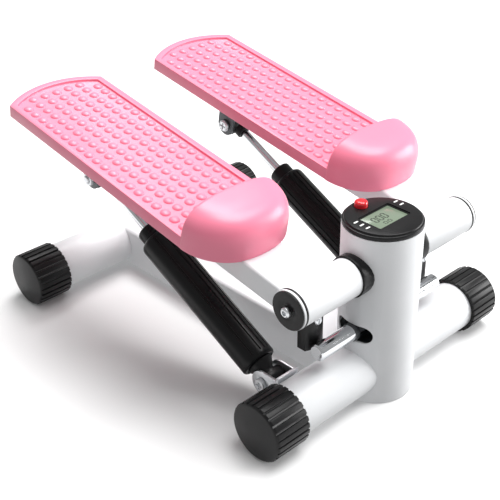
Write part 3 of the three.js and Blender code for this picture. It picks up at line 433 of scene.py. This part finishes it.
# %% Cross tubes
TUBE_R = 25.5
for end, y in (("front", FRONT_Y), ("rear", REAR_Y)):
    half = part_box(f"{end}_cross_tube")[1].x / MM
    tube = rod(f"{end}_tube", TUBE_R, -half, half, ends="NOTHING")
    modify(tube, "SOLIDIFY", thickness=2 * MM, offset=-1)
    round_edges(tube, 0.5, 2)
    smooth(tube)
    settle(tube, (0, y, CROSS_Z))
    hand_over(tube, POWDER_COAT, f"{end}_cross_tube")
    print(tube.name, "half length", round(half, 1))

# %% [markdown]
# ## Column
# The column is a wider pipe that stands over the front cross tube. Its holes, for the cross tube,
# the axle and the rocker bar's slot, are cut with Boolean modifiers, and a narrow bevel softens
# the slot as the paint does.

# %% Column
COLUMN_R = 37.7
AXLE_HOLE_R = 8.2
SLOT_R, SLOT_HALF_TRAVEL = 9, 12
SLOT_Z = middle("rocker_bar", 2) / MM
column_low, column_high = (c.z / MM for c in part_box("column_tube"))
column = rod("column", COLUMN_R, column_low, column_high, "Z", 144, "NOTHING")
modify(column, "SOLIDIFY", thickness=2 * MM, offset=-1)
hole = rod("cutter", TUBE_R + 0.1, -60, 60)
settle(hole, (0, 0, CROSS_Z))
cut(column, hole)
hole = rod("cutter", AXLE_HOLE_R, -60, 60, sides=64)
settle(hole, (0, 0, AXLE_Z))
cut(column, hole)
slot_cutter = rod("cutter", SLOT_R, -60, 60, sides=64)
edit(slot_cutter, "VERT")
for way in (-1, 1):
    mesh = bmesh.from_edit_mesh(slot_cutter.data)
    for vertex in mesh.verts:
        vertex.select_set(vertex.co.y * way > 0.1 * MM)
    bpy.ops.transform.translate(value=(0, way * SLOT_HALF_TRAVEL * MM, 0))
done()
settle(slot_cutter, (0, 0, SLOT_Z * MM))
cut(column, slot_cutter)
round_edges(column, 0.5, 2, 50)
smooth(column, 40)
settle(column, (0, COLUMN_Y, 0))
hand_over(column, POWDER_COAT, "column_tube")
print("column", round(column_high - column_low, 1), "mm tall,", len(column.data.polygons), "faces")

# %% [markdown]
# ## Spine
# A flat box tube runs from the column to the rear cross tube. A block gets rounded long edges, as
# rolled tube has, and two cylinders and the column cut its ends to fit what it is welded to.

# %% Spine
spine_low, spine_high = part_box("spine_beam")
spine = bar_stock(
    "spine",
    (spine_low.x / MM, (spine_low.y - COLUMN_Y) / MM, spine_low.z / MM),
    (spine_high.x / MM, (spine_high.y - COLUMN_Y) / MM, spine_high.z / MM))
edit(spine, "EDGE")
pick_edges(spine, lambda centre, way: abs(way.y) > 0.9)
bpy.ops.mesh.bevel(offset=4 * MM, segments=6, affect="EDGES")
done()
for radius, axis, y, z in (
        (TUBE_R - 0.1, "X", FRONT_Y - COLUMN_Y, CROSS_Z), (TUBE_R - 0.1, "X", REAR_Y - COLUMN_Y, CROSS_Z),
        (COLUMN_R - 0.1, "Z", 0, CROSS_Z)):
    cutter = rod("cutter", radius, -90, 90, axis)
    settle(cutter, (0, y, z))
    cut(spine, cutter)
smooth(spine, 40)
settle(spine, (0, COLUMN_Y, 0))
hand_over(spine, POWDER_COAT, "spine_beam")
print("spine", len(spine.data.polygons), "faces")

# %% [markdown]
# ## Foot caps
# Rubber caps close the tubes and stand on the floor. Twenty-six ribs run along each. The cap is
# turned on the lathe, a ring of bars cuts the grooves, which run out at the inner end, and a bevel
# rounds all of the edges.

# %% Foot caps
CAP_R = 29.4
CAP_LENGTH = 40
RIBS = 26
GROOVE_WIDTH, GROOVE_DEPTH = 2.3, 1.8
for end, y in (("front", FRONT_Y), ("rear", REAR_Y)):
    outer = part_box(f"{end}_foot_cap_left")[1].x / MM
    cap = turned("cap", [
        (outer - 4.9, 0), (outer - 4.9, TUBE_R + 0.1), (outer - CAP_LENGTH, TUBE_R + 0.1),
        (outer - CAP_LENGTH, CAP_R - 0.4), (outer - CAP_LENGTH + 0.4, CAP_R), (outer - 2.2, CAP_R),
        (outer - 0.6, CAP_R - 1.6), (outer, CAP_R - 3), (outer, 0)], steps=4 * RIBS)
    comb = []
    for i in range(RIBS):
        tooth = bar_stock("cutter", (outer - CAP_LENGTH - 1, -GROOVE_WIDTH / 2, CAP_R - GROOVE_DEPTH),
                          (outer - 1.2, GROOVE_WIDTH / 2, CAP_R + 2))
        settle(tooth, turn_x=2 * math.pi * (i + 0.5) / RIBS)
        comb.append(tooth)
    clear_selection()
    for tooth in comb:
        tooth.select_set(True)
    bpy.context.view_layer.objects.active = comb[0]
    bpy.ops.object.join()
    cut(cap, comb[0])
    round_edges(cap, 0.35, 2, 40)
    smooth(cap, 40)
    settle(cap, (0, y, CROSS_Z))
    right = mirrored(cap, f"{end}_cap_right")
    cap.name = cap.data.name = f"{end}_cap_left"
    hand_over(cap, BLACK_RUBBER, f"{end}_foot_cap_left")
    hand_over(right, BLACK_RUBBER, f"{end}_foot_cap_right")
    print(cap.name, RIBS, "ribs,", len(cap.data.polygons), "faces")

# %% [markdown]
# ## Treads
# The tread is one moulding: a shallow tray with a raised rim, rows of round studs for grip, and a
# domed toe cap. Its outline is a circle pulled to the plan's shape and extruded; the toe cap is a
# reshaped sphere, joined on with a Boolean so that the two are one solid.

# %% Tread: outline and tray
PEDAL_HALF = 57.1
TOP_N, BOTTOM_N = 24.7, 12.0
RIM, RIM_HEIGHT = 7.0, 2.4
CORNER_S, BULGE = 375.0, 19.0
TOE_S, TOE_FRONT, TOE_BACK = 107.5, 49.1, 9.0
TOE_BASE_N, TOE_HEIGHT = 24.0, 28.6
TOE_ACROSS_POWER, TOE_ALONG_POWER = 0.84, 1.05
TOE_SHOULDER_POWER, TOE_RISE_POWER = 4.9, 0.45
REAR_STEPS = 24  # few enough that the rim's inset doesn't cross itself at the corners


def power(value, exponent):
    return math.copysign(abs(value) ** exponent, value)


def tread_outline():
    """Points round the tread's plan, in millimetres: a front hidden in the toe cap, then the
    straight sides and the arc across the rear."""
    radius = (PEDAL_HALF ** 2 + BULGE ** 2) / (2 * BULGE)
    centre = CORNER_S + BULGE - radius
    sweep = math.asin(PEDAL_HALF / radius)
    points = [(-PEDAL_HALF, TOE_S + 1), (-46, TOE_S - 16), (46, TOE_S - 16), (PEDAL_HALF, TOE_S + 1)]
    rear = [math.pi / 2 - sweep + 2 * sweep * i / REAR_STEPS for i in range(REAR_STEPS + 1)]
    return points + [(radius * math.cos(a), centre + radius * math.sin(a)) for a in rear]


outline = tread_outline()
clear_selection()
bpy.ops.mesh.primitive_circle_add(vertices=len(outline), radius=0.05, fill_type="NGON")
tread = named("right_tread")
for vertex, (x, s) in zip(tread.data.vertices, outline):
    vertex.co = Vector((x, s, BOTTOM_N)) * MM
bpy.ops.object.mode_set(mode="EDIT")
bpy.ops.mesh.select_mode(type="FACE")
bpy.ops.mesh.select_all(action="SELECT")
bpy.ops.mesh.extrude_region_move(TRANSFORM_OT_translate={"value": (0, 0, (TOP_N - BOTTOM_N) * MM)})
pick_faces(tread, lambda centre, normal: abs(normal.z) > 0.9 and centre.z > (TOP_N - 1) * MM)
bpy.ops.mesh.inset(thickness=RIM * MM, use_even_offset=True)
bpy.ops.mesh.extrude_region_move(TRANSFORM_OT_translate={"value": (0, 0, -RIM_HEIGHT * MM)})
bpy.ops.mesh.select_all(action="SELECT")
bpy.ops.mesh.normals_make_consistent(inside=False)
pick_faces(tread, lambda centre, normal: normal.z < -0.9 and centre.z < (BOTTOM_N + 1) * MM)
bpy.ops.mesh.inset(thickness=3 * MM, use_even_offset=True)
bpy.ops.mesh.extrude_region_move(TRANSFORM_OT_translate={"value": (0, 0, 6 * MM)})
done()
round_edges(tread, 0.45, 3, 40)
print("tray", len(tread.data.polygons), "faces")

# %% [markdown]
# The toe cap starts as a sphere. Its plan is squared a little, its top is flattened, and it falls
# off steeply behind its crest. Below the rim its wall goes straight down.

# %% Tread: toe cap
clear_selection()
bpy.ops.mesh.primitive_uv_sphere_add(segments=144, ring_count=96, radius=1)
dome = named("dome")
for vertex in dome.data.vertices:
    wide = math.sqrt(max(0.0, 1 - vertex.co.z ** 2))
    around = math.atan2(vertex.co.y, vertex.co.x)
    if vertex.co.z > 0:
        n = TOE_BASE_N + TOE_HEIGHT * (1 - wide ** TOE_SHOULDER_POWER) ** TOE_RISE_POWER
    else:
        n = TOE_BASE_N - 30 * min(1.0, -4 * vertex.co.z)
        wide = 1.0 if vertex.co.z > -0.5 else wide / math.sqrt(0.75)
    reach = TOE_BACK if vertex.co.y > 0 else TOE_FRONT
    vertex.co = Vector((
        (PEDAL_HALF + 0.1) * wide * power(math.cos(around), TOE_ACROSS_POWER),
        TOE_S + reach * wide * power(math.sin(around), TOE_ALONG_POWER), n)) * MM
edit(dome)
bpy.ops.mesh.select_all(action="SELECT")
bpy.ops.mesh.remove_doubles(threshold=0.01 * MM)
bpy.ops.mesh.normals_make_consistent(inside=False)
done()
below = bar_stock("cutter", (-90, 0, -90), (90, 200, BOTTOM_N))
cut(dome, below)
cut(tread, dome, "UNION")
hollow = bar_stock("cutter", (-38, 72, 0), (38, 105, 19))
edit(hollow, "EDGE")
bpy.ops.mesh.select_all(action="SELECT")
bpy.ops.mesh.bevel(offset=6 * MM, segments=4, affect="EDGES")
done()
cut(tread, hollow)
arm_way = bar_stock("cutter", (-24.9, -20, -13), (24.9, 331, 12.7))
cut(tread, arm_way)
print("tread with toe cap", len(tread.data.polygons), "faces")

# %% [markdown]
# The studs are small domes, seven across and nineteen along, with a short row by the toe cap and
# another inside the rounded rear rim. One stud is a squashed sphere cut at its waist, then copied.

# %% Tread: studs
STUD_R, STUD_HEIGHT = 5.1, 2.4
PITCH_X, PITCH_S = 14.43, 12.72
FIRST_S, LAST_ROW_S = 132.8, 374.5
DECK_N = TOP_N - RIM_HEIGHT


def stud_places():
    """Centres of the studs in the tread's own plane, in millimetres."""
    places = [(column * PITCH_X, FIRST_S + row * PITCH_S)
              for row in range(19) for column in range(-3, 4)]
    places += [(column * PITCH_X, FIRST_S - PITCH_S) for column in (-3, -2, 2, 3)]
    places += [(column * PITCH_X, LAST_ROW_S) for column in range(-2, 3)]
    return places


clear_selection()
bpy.ops.mesh.primitive_uv_sphere_add(segments=16, ring_count=10, radius=1)
stud = named("stud")
edit(stud)
pick_faces(stud, lambda centre, normal: centre.z < 0)
bpy.ops.mesh.delete(type="FACE")
bpy.ops.mesh.select_mode(type="EDGE")
bpy.ops.mesh.select_non_manifold()
bpy.ops.mesh.edge_face_add()
done()
stud.scale = (STUD_R * MM, STUD_R * MM, STUD_HEIGHT * MM)
bpy.ops.object.transform_apply(location=True, rotation=True, scale=True)
studs = []
for x, s in stud_places():
    use(stud)
    bpy.ops.object.duplicate(linked=False)
    copy = bpy.context.object
    copy.location = (x * MM, s * MM, (DECK_N - 0.1) * MM)
    studs.append(copy)
clear_selection()
bpy.data.objects.remove(stud)
for copy in studs:
    copy.select_set(True)
tread.select_set(True)
bpy.context.view_layer.objects.active = tread
bpy.ops.object.join()
smooth(tread, 38)
settle(tread, (-PEDAL_X, COLUMN_Y, AXLE_Z), turn_x=PEDAL_TILT)
left_tread = mirrored(tread, "left_tread")
hand_over(tread, PINK_ABS, "right_pedal_tread")
hand_over(left_tread, PINK_ABS, "left_pedal_tread")
print(len(studs), "studs,", len(tread.data.polygons), "faces on each tread")

# %% [markdown]
# ## Pedal arms, sleeves and end caps
# Each pedal is welded to a flat box tube, and the tube to a sleeve that turns on the axle. A thin
# black seal lies in a groove near the sleeve's end, and a black cap with a screw closes it.

# %% Arms and sleeves
arm = bar_stock("right_arm", (-24.5, 12, -12.5), (24.5, 330, 12.5))
edit(arm, "EDGE")
pick_edges(arm, lambda centre, way: abs(way.y) > 0.9)
bpy.ops.mesh.bevel(offset=3 * MM, segments=5, affect="EDGES")
done()
cutter = rod("cutter", 18.75, -60, 60)
cut(arm, cutter)
smooth(arm)
settle(arm, (-PEDAL_X, COLUMN_Y, AXLE_Z), turn_x=PEDAL_TILT)
left_arm = mirrored(arm, "left_arm")
hand_over(arm, POWDER_COAT, "right_pedal_arm")
hand_over(left_arm, POWDER_COAT, "left_pedal_arm")

SLEEVE_R = 18.85
sleeve = turned("left_sleeve", [
    (46.5, 17), (46.5, SLEEVE_R - 0.5), (46.7, SLEEVE_R - 0.15), (47.1, SLEEVE_R),
    (115.7, SLEEVE_R), (115.7, SLEEVE_R - 0.8), (118.3, SLEEVE_R - 0.8), (118.3, SLEEVE_R),
    (120.1, SLEEVE_R), (120.45, SLEEVE_R - 0.15), (120.6, SLEEVE_R - 0.5), (120.6, 17)])
smooth(sleeve)
settle(sleeve, (0, COLUMN_Y, AXLE_Z))
seal = turned("left_seal", [
    (115.75, SLEEVE_R - 0.78), (115.75, SLEEVE_R), (116.3, SLEEVE_R + 0.35),
    (117.7, SLEEVE_R + 0.35), (118.25, SLEEVE_R), (118.25, SLEEVE_R - 0.78)])
smooth(seal)
settle(seal, (0, COLUMN_Y, AXLE_Z))
end_cap = turned("left_end_cap", [
    (120.7, 0), (120.7, 17.9), (120.9, 18.25), (121.3, 18.4), (121.9, 18.4), (122.25, 18.25),
    (122.55, 16.5), (122.7, 12), (122.7, 8.2), (122.3, 7.6), (122.3, 5.6), (122.65, 5.2), (122.65, 0)])
smooth(end_cap)
settle(end_cap, (0, COLUMN_Y, AXLE_Z))
for side, sleeve_made, seal_made, cap_made in (
        ("left", sleeve, seal, end_cap),
        ("right", mirrored(sleeve, "right_sleeve"), mirrored(seal, "right_seal"),
         mirrored(end_cap, "right_end_cap"))):
    hand_over(sleeve_made, POWDER_COAT, f"{side}_pivot_sleeve")
    hand_over(seal_made, BLACK_RUBBER, body=f"{side}_pedal")
    hand_over(cap_made, BLACK_NYLON, f"axle_end_cap_{side}")
print("arm", len(arm.data.polygons), "sleeve", len(sleeve.data.polygons), "faces")

# %% [markdown]
# ## Console
# A black cap closes the column. Its rim is stepped; a rounded window frame is sunk into the top,
# and the red button stands behind it. White marks are printed beside the window.

# %% Console housing
console_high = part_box("console_housing")[1].z / MM
rim = console_high - 6
console = turned("console", [
    (rim + 6, 0), (rim + 6, 34.4), (rim + 5.75, 35.2), (rim + 5.2, 35.7), (rim + 4.15, 35.85),
    (rim + 4.0, 36.5), (rim + 3.8, 37.1), (rim + 3.2, 37.4), (rim + 0.4, 37.4), (rim, 37.1),
    (rim, 35.3), (rim - 6, 35.3), (rim - 6, 33.4), (rim + 2, 33.4), (rim + 2.6, 32), (rim + 2.6, 0)],
    axis="Z", steps=144)
print("console before cuts", len(console.data.polygons), "faces")

for low, high, corner in (
        ((-21.2, -15.1, rim + 5.1), (21.2, 12.5, rim + 9), 2.2),
        ((-19.5, -13.3, rim + 1), (19.5, 10.9, rim + 9), 1.2)):
    window = bar_stock("cutter", low, high)
    edit(window, "EDGE")
    pick_edges(window, lambda centre, way: abs(way.z) > 0.9)
    bpy.ops.mesh.bevel(offset=corner * MM, segments=5, affect="EDGES")
    done()
    cut(console, window)
well = rod("cutter", 7.0, rim - 9, rim + 9, "Z", 64)
settle(well, (0, 26.4 * MM, 0))
cut(console, well)
smooth(console, 40)
settle(console, (0, COLUMN_Y, 0))
hand_over(console, BLACK_NYLON, "console_housing")

# %% [markdown]
# The button is turned on the lathe with a rounded crown. The marks and the figures' segments are
# thin strokes with rounded corners, each lying on the surface it is printed on.

# %% Button, digits and printed marks
button_low, button_high = (c.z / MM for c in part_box("reset_button"))
button = turned("button", [
    (button_low, 0), (button_low, 6.4), (button_high - 2.6, 6.4), (button_high - 1.6, 6.15),
    (button_high - 0.7, 5.4), (button_high - 0.2, 4.2), (button_high, 2.4), (button_high, 0)],
    axis="Z", steps=64)
smooth(button)
settle(button, (0, middle("reset_button", 1), 0))
hand_over(button, RED_ABS, "reset_button")

glass_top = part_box("lcd_window")[1].z / MM


def mark(name, x, y, width, length, finish, z, thick=0.12):
    """A printed stroke with rounded corners, lying flat."""
    stroke = bar_stock(name, (x - width / 2, y - length / 2, z - 0.1),
                       (x + width / 2, y + length / 2, z + thick))
    edit(stroke, "EDGE")
    pick_edges(stroke, lambda centre, way: abs(way.z) > 0.9)
    bpy.ops.mesh.bevel(offset=0.3 * min(width, length) * MM, segments=3, affect="EDGES")
    done()
    settle(stroke, (0, COLUMN_Y, 0))
    return hand_over(stroke, finish, body="frame")


for i, (x, y) in enumerate(((-27, 9), (-27, 2), (-27, -5), (28.4, 9), (28.4, 2))):
    mark(f"print_mark_{i}", x, y, 5.2, 1.7, PRINT_WHITE, rim + 6)


def zero(name, x, y, width, height, stroke):
    """The figure nought from six segments."""
    half_w, half_h = width / 2, height / 2
    for i, side in enumerate((-1, 1)):
        mark(f"{name}_cross_{i}", x, y + side * half_h, width - stroke * 1.3, stroke, LCD_INK, glass_top)
        for j, end in enumerate((-1, 1)):
            mark(f"{name}_up_{i}{j}", x + side * half_w, y + end * half_h / 2, stroke,
                 half_h - stroke * 0.6, LCD_INK, glass_top)


for i in range(3):
    zero(f"digit_{i}", -10.5 + i * 6.4, 0.8, 4.0, 8.2, 1.1)
for i in range(2):
    zero(f"small_digit_{i}", -6.5 + i * 5.6, -8.4, 3.4, 3.6, 0.75)
print("glass top at", round(glass_top, 2), "button top", round(button_high, 2))

# %% [markdown]
# ## Air cylinders
# Each cylinder wears a black plastic cover. Grooves run down the side towards the column; the
# outer side stays smooth. Both ends have a rounded shoulder.

# %% Cylinder covers
COVER_R = 18.3
COVER_LOW, COVER_HIGH = 19.0, 186.0
cover = turned("right_cover", [
    (COVER_LOW, 15.2), (COVER_LOW, 16.2), (COVER_LOW + 0.6, 17.4), (COVER_LOW + 2.2, COVER_R),
    (COVER_LOW + 6, COVER_R), (COVER_HIGH - 5, COVER_R), (COVER_HIGH - 3, COVER_R - 0.4),
    (COVER_HIGH - 1.5, COVER_R - 1.3), (COVER_HIGH - 0.5, COVER_R - 2.4), (COVER_HIGH, COVER_R - 3.8),
    (COVER_HIGH, 12.8), (COVER_LOW + 3, 12.8),
    (COVER_LOW + 3, 15.2)], axis="Y", steps=120)
edit(cover)
GROOVE_ANGLES = (-36, -6, 12, 30, 48, 69, 90)  # degrees round the cover from its top


def in_flute(centre, normal):
    around = math.degrees(math.atan2(centre.x, centre.z))
    outward = normal.x * centre.x + normal.z * centre.z > 0
    near = any(abs(around - groove) < 3.6 for groove in GROOVE_ANGLES)
    return near and outward and (COVER_LOW + 6) * MM < centre.y < (COVER_HIGH - 5) * MM


flutes = pick_faces(cover, in_flute)
bpy.ops.mesh.extrude_region_shrink_fatten(TRANSFORM_OT_shrink_fatten={"value": -1.1 * MM})
done()
round_edges(cover, 0.25, 2, 35)
smooth(cover, 40)
settle(cover, (-PEDAL_X, BOLT_Y, BOLT_Z), turn_x=CYLINDER_TILT)
left_cover = mirrored(cover, "left_cover")
hand_over(cover, BLACK_NYLON, "right_cylinder_cover")
hand_over(left_cover, BLACK_NYLON, "left_cylinder_cover")
print("cover", len(cover.data.polygons), "faces,", flutes, "groove faces")

# %% [markdown]
# ## Rocker bar
# A chromed bar with chamfered ends crosses the column through the slot. A dark ring sits on it at
# each side, close to the column.

# %% Rocker bar
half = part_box("rocker_bar")[1].x / MM
BAR_R = 8.2
BAR_Y = middle("rocker_bar", 1) - 1 * MM
bar = turned("rocker", [
    (-half, 0), (-half, BAR_R - 1.5), (-half + 1.5, BAR_R), (half - 1.5, BAR_R),
    (half, BAR_R - 1.5), (half, 0)], steps=64)
smooth(bar, 30)
settle(bar, (0, BAR_Y, SLOT_Z * MM))
hand_over(bar, HARD_CHROME, "rocker_bar")
collar = turned("rocker_collar_left", [
    (36.2, BAR_R - 0.1), (36.2, BAR_R + 0.7), (40.6, BAR_R + 0.7), (41, BAR_R + 0.3),
    (41, BAR_R - 0.1)], steps=64)
smooth(collar)
settle(collar, (0, BAR_Y, SLOT_Z * MM))
for piece in (collar, mirrored(collar, "rocker_collar_right")):
    hand_over(piece, GREY_PAINT, body=body_of["rocker_bar"])
print("rocker bar", round(2 * half, 1), "mm long")

# %% [markdown]
# ## Stage and light
# A plain pale floor and soft light, as in a product studio. A broad key light comes from above and
# from the view's right, so the sides that face the camera stay in a gentle grey. A softbox high
# behind the stepper draws the highlight along each toe cap.

# %% Floor, room and lamps
clear_selection()
bpy.ops.mesh.primitive_plane_add(size=14, location=(0, 0, -0.0002))
floor = named("floor")
floor.data.materials.append(
    surface("floor_paper", "#F4F4F4", "#F1F1F1", 0.8, 0.02, 4.0, 0.001, cloud_mm=400))
floor.visible_diffuse = False  # the paper's bounce would fill in the shaded undersides

world = bpy.data.worlds.new("Room")
bpy.context.scene.world = world
world.use_nodes = True
world.node_tree.nodes["Background"].inputs["Color"].default_value = (1, 1, 1, 1)
world.node_tree.nodes["Background"].inputs["Strength"].default_value = 0.44


def lamp(name, kind, place, energy, **settings):
    data = bpy.data.lights.new(name, kind)
    data.energy = energy
    for setting, value in settings.items():
        setattr(data, setting, value)
    made = bpy.data.objects.new(name, data)
    bpy.context.scene.collection.objects.link(made)
    made.location = place
    made.rotation_euler = (-Vector(place)).to_track_quat("-Z", "Y").to_euler()
    return made


lamp("key", "SUN", (0.55, -0.2, 1.8), 2.75, angle=math.radians(38))
lamp("softbox", "AREA", (0.5, 0.6, 1.6), 12, shape="SQUARE", size=0.7)
lamp("side_panel", "AREA", (1.5, -1.0, 0.55), 26, shape="SQUARE", size=0.9)
bpy.context.scene.view_settings.view_transform = "Standard"
print("lamps", len(bpy.data.lights))

# %% [markdown]
# ## Finish
# The last cell clears the selection.

# %% Finish
clear_selection()
